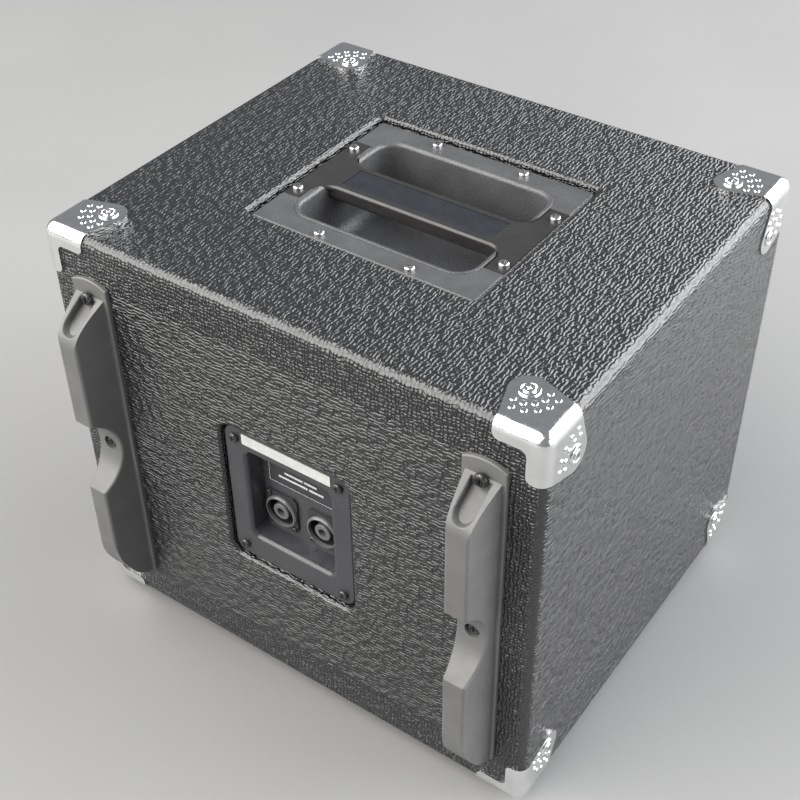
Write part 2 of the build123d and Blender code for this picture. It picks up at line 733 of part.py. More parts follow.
def corner_screws():
    screw = pan_screw(3.8, 1.5, 1.8, 13.0)
    out = CORNER_T
    screws = []
    for x, y in corner_screw_spots():
        screws.append(Pos(x, y, HEIGHT + out) * facing("+z") * screw)
        screws.append(Pos(x, y, -out) * facing("-z") * screw)
        side = 1 if x > 0 else -1
        for z in (TONGUE_AT, HEIGHT - TONGUE_AT):
            turned = facing("+x" if side > 0 else "-x") * screw
            screws.append(Pos(side * (WIDTH / 2 + out), y, z) * turned)
    return screws


# ---------------------------------------------------------------- feet


def feet():
    made = []
    for x, y in foot_spots():
        foot = Pos(x, y, -FOOT_H / 2) * Cylinder(FOOT_R, FOOT_H)
        foot = chamfer(foot.edges().group_by(Axis.Z)[0], 2.0)
        foot -= rod_z(6.0, x, y, -FOOT_H, -4.0)
        made.append(foot - rod_z(2.2, x, y, -FOOT_H, 1))
    return made


def foot_screws():
    screw = pan_screw(4.5, 3.0, 2.0, 16.0)
    return [Pos(x, y, -4.0) * facing("-z") * screw for x, y in foot_spots()]


# ---------------------------------------------------------------- grille


def grille_screw_spots():
    x, z = GRILLE_X - GRILLE_SCREW_IN, GRILLE_Z - GRILLE_SCREW_IN
    return [(sx * x, HEIGHT / 2 + sz * z) for sx, sz in signs()]


def grille_hole_spots():
    rise = HOLE_PITCH * 3**0.5 / 2
    rows = int((GRILLE_Z - HOLE_MARGIN) / rise)
    spots = []
    for row in range(-rows, rows + 1):
        shift = HOLE_PITCH / 2 if row % 2 else 0
        count = int((GRILLE_X - HOLE_MARGIN - shift) / HOLE_PITCH)
        for n in range(-count - (1 if shift else 0), count + 1):
            spots.append((n * HOLE_PITCH + shift, row * rise))
    return spots


def grille_sheet():
    outer = Wire.make_rect(2 * GRILLE_X, 2 * GRILLE_Z)
    holes = [Wire.make_circle(HOLE_R, Plane(origin=(x, z, 0))) for x, z in grille_hole_spots()]
    for x, z in grille_screw_spots():
        holes.append(Wire.make_circle(2.2, Plane(origin=(x, z - HEIGHT / 2, 0))))
    sheet = extrude(Face(outer, holes), amount=GRILLE_T, dir=(0, 0, 1))
    return Pos(0, GRILLE_Y + GRILLE_T, HEIGHT / 2) * Rot(90, 0, 0) * sheet


def grille_battens():
    """Four strips round the recess that the grille screws down on."""
    back = BAFFLE_Y
    front = GRILLE_Y + GRILLE_T
    mid = HEIGHT / 2
    strips = []
    for sign in (-1, 1):
        x0, x1 = sorted((sign * GRILLE_X, sign * (GRILLE_X - BATTEN_W)))
        z0, z1 = sorted((mid + sign * GRILLE_Z, mid + sign * (GRILLE_Z - BATTEN_H)))
        strips.append(box(x0, x1, front, back, mid - GRILLE_Z, mid + GRILLE_Z))
        strips.append(box(-GRILLE_X + BATTEN_W, GRILLE_X - BATTEN_W, front, back, z0, z1))
    for x, z in grille_screw_spots():
        strips = [s - rod_y(PILOT_R, x, z, front - 1, back + 1) for s in strips]
    return strips


def grille_screws():
    screw = pan_screw(3.8, 2.0, 1.8, 22.0)
    return [Pos(x, GRILLE_Y, z) * facing("-y") * screw for x, z in grille_screw_spots()]


def badge():
    plate = slab_y(34, 8, 3.0, 46.0, GRILLE_Y - 1.6, GRILLE_Y)
    plate = fillet(plate.edges().group_by(Axis.Y)[0], 0.6)
    return plate - slab_y(31.5, 5.5, 1.5, 46.0, GRILLE_Y - 2, GRILLE_Y - 1.2)


# ---------------------------------------------------------------- drivers


def spun(points, x, z):
    """A profile of (radius, distance behind the baffle's face), spun round the driver's axis."""
    face = make_face(Polyline(*[(r, s) for r, s in points], close=True).edges())
    turned = revolve(face, Axis.Y)
    return Pos(x, BAFFLE_Y, z) * turned


def ring_plate(r0, r1, s0, s1, x, z):
    """A flat ring between two radii and two distances behind the baffle's face."""
    ring = rod_y(r1, x, z, BAFFLE_Y + s0, BAFFLE_Y + s1)
    return ring - rod_y(r0, x, z, BAFFLE_Y + s0 - 1, BAFFLE_Y + s1 + 1)


def screw_ring(x, z):
    off = SCREW_CIRCLE / 2**0.5
    return [(x + sx * off, z + sz * off) for sx, sz in signs()]


def basket(x, z):
    """Pressed steel frame: a mounting rim, a windowed cone, and a shelf for the spider."""
    seat = PLATE_SEAT
    profile = (
        (52, -FLANGE_T), (FLANGE_R, -FLANGE_T), (FLANGE_R, 0), (57, 0), (56, 4), (MAGNET_R, 30),
        (MAGNET_R, seat), (14.2, seat), (14.2, seat - 2.5), (33.5, seat - 2.5), (33.5, 35), (29, 35),
        (29, 33.5), (33.8, 33.5), (33.8, 29), (52, 4),
    )
    body = spun(profile, x, z)
    for n in range(6):
        window = Pos(x, BAFFLE_Y + 17.5, z) * Rot(0, 60 * n + 30, 0) * Pos(46, 0, 0) * Box(34, 19, 26)
        body -= window
    for sx, sz in screw_ring(x, z):
        body -= rod_y(PASS_R, sx, sz, BAFFLE_Y - 5, BAFFLE_Y + 1)
    return body


def top_plate(x, z):
    return ring_plate(GAP_R, MAGNET_R - 1, PLATE_SEAT, MAGNET_FRONT, x, z)


def magnet(x, z):
    return ring_plate(MAGNET_BORE_R, MAGNET_R, MAGNET_FRONT, MAGNET_BACK, x, z)


def back_plate(x, z):
    """Disc behind the magnet, in one with the vented pole."""
    front, back, vent_r = PLATE_SEAT, MAGNET_BACK, 4
    profile = (
        (vent_r, front), (POLE_R - 1, front), (POLE_R, front + 1), (POLE_R, back),
        (MAGNET_R - 1, back), (MAGNET_R - 1, back + 4), (MAGNET_R - 2, back + 5), (vent_r, back + 5),
    )
    return spun(profile, x, z)


def driver_gasket(x, z):
    ring = ring_plate(58.4, FLANGE_R - 0.5, -FLANGE_T - GASKET_T, -FLANGE_T, x, z)
    for sx, sz in screw_ring(x, z):
        ring -= rod_y(PASS_R, sx, sz, BAFFLE_Y - 8, BAFFLE_Y)
    return ring


def driver_screws():
    screw = pan_screw(3.6, 2.4, 1.8, 17.0)
    made = []
    for x, z in driver_spots():
        for sx, sz in screw_ring(x, z):
            seat = BAFFLE_Y - FLANGE_T - GASKET_T
            made.append(Pos(sx, seat, sz) * facing("-y") * screw)
    return made


def terminal(x, z):
    """Solder tag board on the side of the basket that faces the cabinet's middle."""
    side = -1 if x > 0 else 1
    near, far = sorted((x + side * 43.9, x + side * 55.5))
    return box(near, far, BAFFLE_Y + 20, BAFFLE_Y + 22, z - 6, z + 6)


def cone(x, z):
    shell = (
        (COIL_R + COIL_T, 30.0), (22, 21.6), (34, 10.0), (CONE_R, -1.8), (CONE_R, -2.8),
        (33.6, 9.0), (21.6, 20.6), (COIL_R + COIL_T, 28.6),
    )
    return spun(shell, x, z)


def dust_cap(x, z):
    """Domed cap glued inside the cone, over the coil."""
    cap_r, seat, rise, thick = 19.5, 22.1, 6.5, 0.7
    arc = [(cap_r * n / 8, seat - rise * (1 - (n / 8) ** 2)) for n in range(9)]
    under = [(r, s + thick) for r, s in reversed(arc)]
    return spun((*arc, *under), x, z)


def voice_coil(x, z):
    return ring_plate(COIL_R, COIL_R + COIL_T - 0.05, 28.7, 50, x, z)


def surround(x, z):
    """Half-roll rubber edge between the cone and the basket's rim."""
    mid, roll, thick, level = 50.2, 3.7, 0.7, -FLANGE_T
    top = [(mid - roll, level), *roll_points(mid, level, roll, 8), (mid + roll, level)]
    top = [(CONE_R - 2.2, level - 0.1), *top, (58.0, level)]
    skin = [(CONE_R - 2.2, level - 0.8), *roll_points(mid, level, roll + thick, 8), (58.0, level - thick)]
    return spun((*top, *reversed(skin)), x, z)


def roll_points(mid, level, r, steps):
    spots = []
    for n in range(1, steps):
        turn = Vector(-r, 0, 0).rotate(Axis.Z, -180 * n / steps)
        spots.append((mid + turn.X, level - abs(turn.Y)))
    return spots


def spider(x, z):
    """Corrugated centring disc between the coil former and the basket's shelf."""
    inner, outer, level, thick = COIL_R + COIL_T + 0.05, 32.5, 32.4, 0.5
    waves = 7
    step = (outer - 3.5 - inner) / (2 * waves)
    line = [(inner + n * step, level - (0.9 if n % 2 else 0)) for n in range(2 * waves + 1)]
    line.append((outer, level))
    below = [(r, s + thick) for r, s in reversed(line)]
    return spun((*line, *below), x, z)


# ---------------------------------------------------------------- inside the box


def wire_run(sign, up):
    """Twin cable from a socket, up or down the brace post and forward to a driver."""
    x = sign * WIRE_X
    start = SOCKET_Z + up * 3
    level = HEIGHT / 2 + up * DRIVER_Z
    points = [
        (x, POT_FLOOR - SHELL_LONG - 5.5, start),
        (x, WIRE_Y, start),
        (x, WIRE_Y, level),
        (x, BAFFLE_Y + 22.2, level),
    ]
    path = FilletPolyline(*points, radius=WIRE_BEND)
    end = Plane(origin=path @ 0, z_dir=path % 0)
    return sweep(end * Circle(WIRE_R), path=path)


def internal_wiring():
    return [wire_run(sx, up) for sx, up in signs()]


def cable_clips():
    """Two-part blocks on the brace post, closed round the cables."""
    half = 3.5
    clips = []
    for sx, up in signs():
        z = HEIGHT / 2 + up * 45
        x0, x1 = sorted((sx * BRACE_HALF, sx * (BRACE_HALF + 6.5)))
        clip = box(x0, x1, WIRE_Y - half, WIRE_Y + half, z - 3, z + 3)
        clip -= rod_z(WIRE_R + 0.1, sx * WIRE_X, WIRE_Y, z - 5, z + 5)
        clip -= box(x0, x1, WIRE_Y - 0.3, WIRE_Y + 0.3, z - 5, z + 5)
        clips.extend(clip.solids())
    return clips


def wadding():
    """A pad of loose fibre on each side wall."""
    outer = INNER_X - WADDING_GAP
    pads = []
    for sx in (-1, 1):
        x0, x1 = sorted((sx * outer, sx * (outer - WADDING_T)))
        pads.append(box(x0, x1, *WADDING_Y, *WADDING_Z))
    return pads


# ---------------------------------------------------------------- hand over

os.makedirs("parts", exist_ok=True)

save("panel_top", panel_top())
save("panel_bottom", panel_bottom())
save("panel_left", panel_side(-1))
save("panel_right", panel_side(1))
save("panel_rear", panel_rear())
save("front_baffle", front_baffle())
save("panel_battens", *panel_battens())
save("brace_post", brace_post())
save("vinyl_wrap", vinyl_wrap())
save("vinyl_rear", vinyl_rear())
save("handle_tray", handle_tray())
save("handle_bar", handle_bar())
save("name_plate", name_plate())
save("handle_screws", *handle_screws())
save("jack_plate", jack_plate())
save("label_strip", label_strip())
save("legend_plate", legend_plate())
save("socket_shells", *[socket_shell(s * SOCKET_X) for s in (-1, 1)])
save("socket_rings", *[socket_ring(s * SOCKET_X) for s in (-1, 1)])
save("socket_cores", *[socket_core(s * SOCKET_X) for s in (-1, 1)])
save("socket_screws", *socket_screws())
save("jack_plate_screws", *jack_plate_screws())
save("runner_left", Pos(-RUNNER_X, DEPTH / 2, 0) * runner())
save("runner_right", Pos(RUNNER_X, DEPTH / 2, 0) * runner())
save("runner_screws", *runner_screws())
save("corners_top", *corner_protectors("top"))
save("corners_bottom", *corner_protectors("bottom"))
save("corner_screws", *corner_screws())
save("feet", *feet())
save("foot_screws", *foot_screws())
save("grille_sheet", grille_sheet())
save("grille_battens", *grille_battens())
save("grille_screws", *grille_screws())
save("badge", badge())
save("driver_baskets", *[basket(*at) for at in driver_spots()])
save("driver_top_plates", *[top_plate(*at) for at in driver_spots()])
save("driver_magnets", *[magnet(*at) for at in driver_spots()])
save("driver_back_plates", *[back_plate(*at) for at in driver_spots()])
save("driver_gaskets", *[driver_gasket(*at) for at in driver_spots()])
save("driver_screws", *driver_screws())
save("driver_terminals", *[terminal(*at) for at in driver_spots()])
save("internal_wiring", *internal_wiring())
save("cable_clips", *cable_clips())
save("wadding", *wadding())
for number, at in enumerate(driver_spots(), 1):
    save(f"cone_{number}", cone(*at), dust_cap(*at))
    save(f"voice_coil_{number}", voice_coil(*at))
    save(f"surround_{number}", surround(*at))
    save(f"spider_{number}", spider(*at))
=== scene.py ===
"""Looks for a compact bass loudspeaker cabinet: black grained vinyl over ply, a recessed bar
handle, a jack plate, two moulded runners, plated corners and four drivers behind a grille.
Lengths are metres in the shared frame: +X right, the drivers face -Y, +Z up."""
import bpy
import math
import numpy as np
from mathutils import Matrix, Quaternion, Vector


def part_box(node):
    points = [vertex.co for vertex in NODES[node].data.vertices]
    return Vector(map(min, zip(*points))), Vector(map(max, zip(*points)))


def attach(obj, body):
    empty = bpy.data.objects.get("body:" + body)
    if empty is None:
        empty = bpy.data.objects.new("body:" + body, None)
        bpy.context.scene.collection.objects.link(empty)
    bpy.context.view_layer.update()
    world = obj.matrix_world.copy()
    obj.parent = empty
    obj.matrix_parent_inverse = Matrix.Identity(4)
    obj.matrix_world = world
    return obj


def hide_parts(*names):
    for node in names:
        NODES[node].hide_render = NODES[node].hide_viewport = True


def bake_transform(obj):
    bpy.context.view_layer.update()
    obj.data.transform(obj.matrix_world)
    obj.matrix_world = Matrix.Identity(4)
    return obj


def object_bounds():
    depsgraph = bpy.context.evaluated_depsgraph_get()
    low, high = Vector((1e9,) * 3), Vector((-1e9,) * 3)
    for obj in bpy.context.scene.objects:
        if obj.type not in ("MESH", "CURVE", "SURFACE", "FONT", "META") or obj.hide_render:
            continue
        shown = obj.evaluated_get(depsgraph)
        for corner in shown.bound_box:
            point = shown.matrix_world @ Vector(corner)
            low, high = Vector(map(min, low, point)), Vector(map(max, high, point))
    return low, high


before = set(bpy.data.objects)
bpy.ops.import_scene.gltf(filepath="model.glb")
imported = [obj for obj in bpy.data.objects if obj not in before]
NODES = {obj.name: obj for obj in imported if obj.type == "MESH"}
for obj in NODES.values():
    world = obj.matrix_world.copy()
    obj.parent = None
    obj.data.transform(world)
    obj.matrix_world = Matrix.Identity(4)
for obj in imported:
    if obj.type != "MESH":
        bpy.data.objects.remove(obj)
CAD_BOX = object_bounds()
MM = 0.001


# ---------------------------------------------------------------- material building blocks

class Finish:
    """A Principled material and short calls for the nodes that most finishes share."""

    def __init__(self, name, color, roughness, **sockets):
        self.material = bpy.data.materials.new(name)
        self.material.use_nodes = True
        self.tree = self.material.node_tree
        self.shader = self.tree.nodes["Principled BSDF"]
        self.place = self.node("ShaderNodeTexCoord").outputs["Object"]
        self.color = self.rgb(color)
        self.set("Base Color", self.color)
        self.set("Roughness", roughness)
        for socket, value in sockets.items():
            self.set(socket.replace("_", " "), value)

    @staticmethod
    def rgb(color):
        if isinstance(color, (int, float)):
            color = (color, color, color)
        return (*color, 1.0)

    def node(self, kind, **properties):
        made = self.tree.nodes.new(kind)
        for name, value in properties.items():
            setattr(made, name, value)
        return made

    def feed(self, socket, value):
        """A number or colour is set on the socket; a node's output is linked to it."""
        if isinstance(value, bpy.types.NodeSocket):
            self.tree.links.new(value, socket)
        else:
            socket.default_value = value

    def set(self, socket, value):
        self.feed(self.shader.inputs[socket], value)

    def math(self, operation, a, b=0.0):
        made = self.node("ShaderNodeMath", operation=operation)
        self.feed(made.inputs[0], a)
        self.feed(made.inputs[1], b)
        return made.outputs[0]

    def vector(self, operation, a, b):
        made = self.node("ShaderNodeVectorMath", operation=operation)
        self.feed(made.inputs[0], a)
        self.feed(made.inputs[1], b)
        return made.outputs[0]

    def split(self, vector):
        made = self.node("ShaderNodeSeparateXYZ")
        self.feed(made.inputs[0], vector)
        return made.outputs

    def stretch(self, scale):
        """The place, scaled along X, Y and Z."""
        return self.vector("MULTIPLY", self.place, scale)

    def noise(self, size, detail=2.0, roughness=0.5, at=None, distortion=0.0):
        """Noise whose lumps are about size across."""
        made = self.node("ShaderNodeTexNoise")
        self.feed(made.inputs["Vector"], self.place if at is None else at)
        made.inputs["Scale"].default_value = 1.0 / size
        made.inputs["Detail"].default_value = detail
        made.inputs["Roughness"].default_value = roughness
        made.inputs["Distortion"].default_value = distortion
        return made.outputs["Fac"]

    def cells(self, size, smooth):
        """Distance within cells about size across, with softened borders."""
        made = self.node("ShaderNodeTexVoronoi", feature="SMOOTH_F1")
        self.feed(made.inputs["Vector"], self.place)
        made.inputs["Scale"].default_value = 1.0 / size
        made.inputs["Smoothness"].default_value = smooth
        return made.outputs["Distance"]

    def between(self, value, low, high, to_low=0.0, to_high=1.0):
        """The value, eased from the span low to high onto the span to_low to to_high."""
        made = self.node("ShaderNodeMapRange", interpolation_type="SMOOTHSTEP")
        self.feed(made.inputs["Value"], value)
        for name, number in zip(("From Min", "From Max", "To Min", "To Max"),
                                (low, high, to_low, to_high)):
            made.inputs[name].default_value = number
        return made.outputs["Result"]

    def mix(self, factor, a, b):
        """A colour between a and b."""
        made = self.node("ShaderNodeMix", data_type="RGBA")
        self.feed(made.inputs["Factor"], factor)
        self.feed(made.inputs["A"], a if isinstance(a, bpy.types.NodeSocket) else self.rgb(a))
        self.feed(made.inputs["B"], b if isinstance(b, bpy.types.NodeSocket) else self.rgb(b))
        return made.outputs["Result"]

    def relief(self, height, depth):
        """Bumps the surface by height times depth, on top of any relief so far."""
        made = self.node("ShaderNodeBump")
        made.inputs["Strength"].default_value = 1.0
        made.inputs["Distance"].default_value = depth
        self.feed(made.inputs["Height"], height)
        before = self.shader.inputs["Normal"].links
        if before:
            self.feed(made.inputs["Normal"], before[0].from_socket)
        self.set("Normal", made.outputs["Normal"])

    def within(self, low, high):
        """1 inside a box between two corners, and 0 outside it."""
        inside = 1.0
        for axis, spot in enumerate(self.split(self.place)[:3]):
            above = self.math("GREATER_THAN", spot, low[axis])
            below = self.math("LESS_THAN", spot, high[axis])
            inside = self.math("MULTIPLY", inside, self.math("MULTIPLY", above, below))
        return inside

    def normal_part(self, axis):
        """How far the surface faces along an axis, from 0 to 1."""
        facing = self.node("ShaderNodeTexCoord").outputs["Normal"]
        return self.math("ABSOLUTE", self.split(facing)[axis])


def vary_color(finish, size, amount):
    """Uneven tone, as dust, handling and moulding leave it."""
    dark = tuple(c * (1 - amount) for c in finish.color[:3])
    light = tuple(min(1.0, c * (1 + amount)) for c in finish.color[:3])
    blotch = finish.between(finish.noise(size, detail=4), 0.3, 0.7)
    finish.set("Base Color", finish.mix(blotch, dark, light))


def vary_roughness(finish, size, low, high):
    """Uneven gloss, from low to high, in patches about size across."""
    smudge = finish.noise(size, detail=5, roughness=0.6)
    finish.set("Roughness", finish.between(smudge, 0.3, 0.7, low, high))


# ---------------------------------------------------------------- the materials

# the vinyl's grain: its pitch and its share of the height, across the sheet's run and along it
ACROSS_PITCH, ACROSS_SHARE = 2.9 * MM, 0.5
ALONG_PITCH, ALONG_SHARE = 9 * MM, 0.16
# how far the rows stray, and over what distance
STRAY, STRAY_SIZE = 5.8 * MM, 5.5 * MM
GRAIN_DEPTH = 1.35 * MM
GRAIN_LEVEL = 0.7


def vinyl(name, run):
    """Black textured vinyl: raised pebbles with narrow creases between them, in rows
    that follow the sheet's run, which is one axis."""
    f = Finish(name, (0.009, 0.0092, 0.01), 0.3, Specular_IOR_Level=0.75)
    swirl = f.node("ShaderNodeTexNoise")
    f.feed(swirl.inputs["Vector"], f.place)
    swirl.inputs["Scale"].default_value = 1 / STRAY_SIZE
    swirl.inputs["Detail"].default_value = 1.5
    wander = f.vector("SUBTRACT", swirl.outputs["Color"], (0.5, 0.5, 0.5))
    bent = f.split(f.vector("ADD", f.place, f.vector("MULTIPLY", wander, (STRAY,) * 3)))
    height = 0.0
    for axis in range(3):
        if axis == run:
            pitch, share = ALONG_PITCH, ALONG_SHARE
        else:
            pitch, share = ACROSS_PITCH, ACROSS_SHARE
        row = f.math("SINE", f.math("MULTIPLY", bent[axis], math.pi / pitch))
        height = f.math("ADD", height, f.math("MULTIPLY", f.math("ABSOLUTE", row), share))
    # the sheet is stretched smoother where it turns round an edge
    square_on = f.math("MAXIMUM", f.normal_part(0), f.normal_part(1))
    square_on = f.math("MAXIMUM", square_on, f.normal_part(2))
    taut = f.between(square_on, 0.8, 0.985, 0.15, 1.0)
    raised = f.math("SUBTRACT", height, GRAIN_LEVEL)
    f.relief(f.math("MULTIPLY", raised, taut), GRAIN_DEPTH)
    f.relief(f.noise(0.6 * MM, detail=2), 0.03 * MM)
    # painted shade: the creases are coloured darker than the crests to stand in for the shade
    # that falls in them
    crease_shade = f.between(height, 0.4, 0.9)
    f.set("Base Color", f.mix(crease_shade, (0.003, 0.003, 0.0035), (0.0085, 0.0088, 0.0096)))
    f.set("Roughness", f.between(height, 0.3, 0.9, 0.5, 0.29))
    return f


def stippled(name, color, roughness, size, depth, **sockets):
    """Moulded plastic with a fine spark-eroded grain."""
    f = Finish(name, color, roughness, **sockets)
    f.relief(f.cells(size, smooth=0.5), depth)
    f.relief(f.noise(size * 0.45, detail=2), depth * 0.4)
    vary_color(f, 22 * MM, 0.12)
    vary_roughness(f, 6 * MM, roughness - 0.05, roughness + 0.07)
    return f


def smooth_plastic(name, color, roughness, **sockets):
    """Smooth moulding with faint flow unevenness and fine handling marks."""
    f = Finish(name, color, roughness, **sockets)
    f.relief(f.noise(7 * MM, detail=2), 0.05 * MM)
    scuffs = f.noise(0.6 * MM, detail=3, at=f.stretch((0.12, 1.0, 1.0)))
    f.relief(scuffs, 0.006 * MM)
    vary_color(f, 30 * MM, 0.1)
    vary_roughness(f, 9 * MM, roughness - 0.05, roughness + 0.08)
    return f


def rubbery(name, color, roughness, grain=0.45 * MM):
    """Moulded rubber or thermoplastic elastomer with a fine matt grain and dusty tone."""
    f = Finish(name, color, roughness, Specular_IOR_Level=0.45)
    f.relief(f.noise(grain, detail=3, roughness=0.6), 0.05 * MM)
    f.relief(f.noise(14 * MM, detail=2), 0.12 * MM)
    vary_color(f, 26 * MM, 0.09)
    vary_roughness(f, 8 * MM, roughness - 0.06, roughness + 0.08)
    return f


def plated(name, color, low, high, wave):
    """Bright plated steel: slight pressing waves, smudges and fine scratches."""
    f = Finish(name, color, low, Metallic=1.0)
    f.relief(f.noise(6 * MM, detail=1.5), wave)
    f.relief(f.noise(0.25 * MM, detail=2, at=f.stretch((1.0, 0.15, 0.4))), 0.002 * MM)
    vary_roughness(f, 5 * MM, low, high)
    vary_color(f, 12 * MM, 0.05)
    return f


def coated_metal(name, color, roughness, worn, amount):
    """Dark coated steel, worn to bright metal in small patches."""
    f = Finish(name, color, roughness)
    patches = f.noise(0.9 * MM, detail=4, roughness=0.65)
    wear = f.between(patches, 0.62 - amount, 0.72 - amount * 0.6)
    f.set("Base Color", f.mix(wear, color, worn))
    f.set("Metallic", f.math("MULTIPLY", wear, 0.9))
    gloss = f.noise(2 * MM, detail=3)
    f.set("Roughness", f.between(gloss, 0.3, 0.7, roughness - 0.07, roughness + 0.1))
    f.relief(f.noise(0.35 * MM, detail=2), 0.012 * MM)
    return f


def powder_coat(name, color, roughness):
    """Baked paint with a fine orange-peel surface."""
    f = Finish(name, color, roughness, Specular_IOR_Level=0.5)
    f.relief(f.noise(0.7 * MM, detail=2), 0.04 * MM)
    vary_color(f, 15 * MM, 0.12)
    vary_roughness(f, 5 * MM, roughness - 0.05, roughness + 0.06)
    return f


def brushed(name, color, roughness, along):
    """Metal with fine lines along one axis."""
    scale = [1.0, 1.0, 1.0]
    scale[along] = 0.02
    f = Finish(name, color, roughness, Metallic=1.0)
    lines = f.noise(0.18 * MM, detail=4, at=f.stretch(tuple(scale)))
    f.relief(lines, 0.008 * MM)
    f.set("Roughness", f.between(lines, 0.2, 0.8, roughness - 0.08, roughness + 0.1))
    vary_color(f, 12 * MM, 0.06)
    return f


PLY_PITCH = 2.6 * MM
BLACKED_MARGIN = 4 * MM


def plywood(name, through, along, blacked=None):
    """Birch ply: grain lines along one axis on the faces, and plies seen on the edges.
    It is blacked round the node that is let into it, if one is named."""
    f = Finish(name, (0.55, 0.38, 0.2), 0.6)
    scale = [1.0, 1.0, 1.0]
    scale[along] = 0.05
    grain = f.noise(1.6 * MM, detail=5, roughness=0.65, at=f.stretch(tuple(scale)))
    broad = f.noise(16 * MM, detail=3, at=f.stretch(tuple(scale)), distortion=0.6)
    face = f.mix(f.between(grain, 0.3, 0.75), (0.42, 0.27, 0.13), (0.66, 0.49, 0.29))
    face = f.mix(f.between(broad, 0.35, 0.7, 0.0, 0.35), face, (0.5, 0.33, 0.17))
    depth = f.split(f.place)[through]
    plies = f.math("SINE", f.math("MULTIPLY", depth, 2 * math.pi / PLY_PITCH))
    ply = f.between(plies, -0.4, 0.4)
    edge = f.mix(ply, (0.3, 0.18, 0.08), (0.6, 0.43, 0.24))
    wood = f.mix(f.between(f.normal_part(through), 0.4, 0.6), edge, face)
    if blacked:
        margin = Vector((BLACKED_MARGIN,) * 3)
        low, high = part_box(blacked)
        wood = f.mix(f.within(low - margin, high + margin), wood, (0.008, 0.008, 0.008))
    f.set("Base Color", wood)
    f.relief(grain, 0.06 * MM)
    vary_roughness(f, 7 * MM, 0.5, 0.7)
    return f


def stained_wood():
    f = Finish("batten_black", (0.018, 0.017, 0.016), 0.6)
    grain = f.noise(1.3 * MM, detail=5, at=f.stretch((0.08, 1.0, 0.08)))
    f.relief(grain, 0.1 * MM)
    f.set("Base Color", f.mix(grain, (0.008, 0.008, 0.008), (0.035, 0.032, 0.028)))
    vary_roughness(f, 6 * MM, 0.5, 0.7)
    return f


def label_strip():
    """Matt silver print film."""
    f = Finish("label", (0.5, 0.51, 0.49), 0.42, Metallic=0.35)
    f.relief(f.noise(0.3 * MM, detail=2), 0.008 * MM)
    vary_color(f, 8 * MM, 0.06)
    vary_roughness(f, 4 * MM, 0.36, 0.5)
    return f


def paper_cone():
    """Dark treated paper with pressed fibres."""
    f = Finish("cone", (0.03, 0.03, 0.033), 0.55, Sheen_Weight=0.15)
    fibre = f.noise(0.8 * MM, detail=4, roughness=0.7, distortion=1.2)
    f.relief(fibre, 0.07 * MM)
    strand = f.between(fibre, 0.35, 0.7)
    f.set("Base Color", f.mix(strand, (0.018, 0.018, 0.02), (0.045, 0.045, 0.048)))
    vary_roughness(f, 4 * MM, 0.45, 0.65)
    return f


def woven(name, dark, light, pitch):
    """Impregnated cloth: over and under threads along X and Z."""
    f = Finish(name, light, 0.7, Sheen_Weight=0.2)
    x, _, z = f.split(f.place)
    turn = 2 * math.pi / pitch
    warp = f.math("SINE", f.math("MULTIPLY", x, turn))
    weft = f.math("SINE", f.math("MULTIPLY", z, turn))
    weave = f.between(f.math("MULTIPLY", warp, weft), -0.7, 0.7)
    f.relief(weave, 0.12 * MM)
    f.set("Base Color", f.mix(weave, dark, light))
    vary_roughness(f, 5 * MM, 0.6, 0.8)
    return f


def winding():
    """Enamelled copper wire, wound round Y."""
    f = Finish("coil", (0.55, 0.25, 0.1), 0.35, Metallic=0.8)
    y = f.split(f.place)[1]
    turns = f.math("SINE", f.math("MULTIPLY", y, 2 * math.pi / (0.35 * MM)))
    f.relief(turns, 0.1 * MM)
    f.set("Base Color", f.mix(f.between(turns, -0.6, 0.6), (0.3, 0.12, 0.04), (0.6, 0.28, 0.11)))
    vary_roughness(f, 3 * MM, 0.28, 0.42)
    return f


def ferrite():
    f = Finish("ferrite", (0.045, 0.045, 0.05), 0.55)
    f.relief(f.noise(0.6 * MM, detail=4, roughness=0.7), 0.06 * MM)
    vary_color(f, 5 * MM, 0.2)
    vary_roughness(f, 4 * MM, 0.45, 0.65)
    return f


def board():
    f = Finish("board", (0.25, 0.13, 0.05), 0.5)
    fibre = f.noise(0.5 * MM, detail=4, at=f.stretch((1.0, 1.0, 0.2)))
    f.relief(fibre, 0.03 * MM)
    f.set("Base Color", f.mix(fibre, (0.18, 0.09, 0.03), (0.33, 0.18, 0.07)))
    vary_roughness(f, 4 * MM, 0.42, 0.6)
    return f


def fleece():
    """White polyester wadding."""
    f = Finish("wadding", (0.75, 0.75, 0.73), 0.95, Sheen_Weight=0.5)
    fibre = f.noise(2.2 * MM, detail=6, roughness=0.75, distortion=2.0)
    f.relief(fibre, 0.9 * MM)
    f.set("Base Color", f.mix(f.between(fibre, 0.3, 0.7), (0.5, 0.5, 0.48), (0.82, 0.82, 0.8)))
    vary_roughness(f, 10 * MM, 0.85, 1.0)
    return f


def print_ink():
    f = Finish("print_ink", (0.42, 0.43, 0.43), 0.5)
    vary_color(f, 1.5 * MM, 0.15)
    f.relief(f.noise(0.3 * MM, detail=2), 0.006 * MM)
    vary_roughness(f, 2 * MM, 0.42, 0.58)
    return f


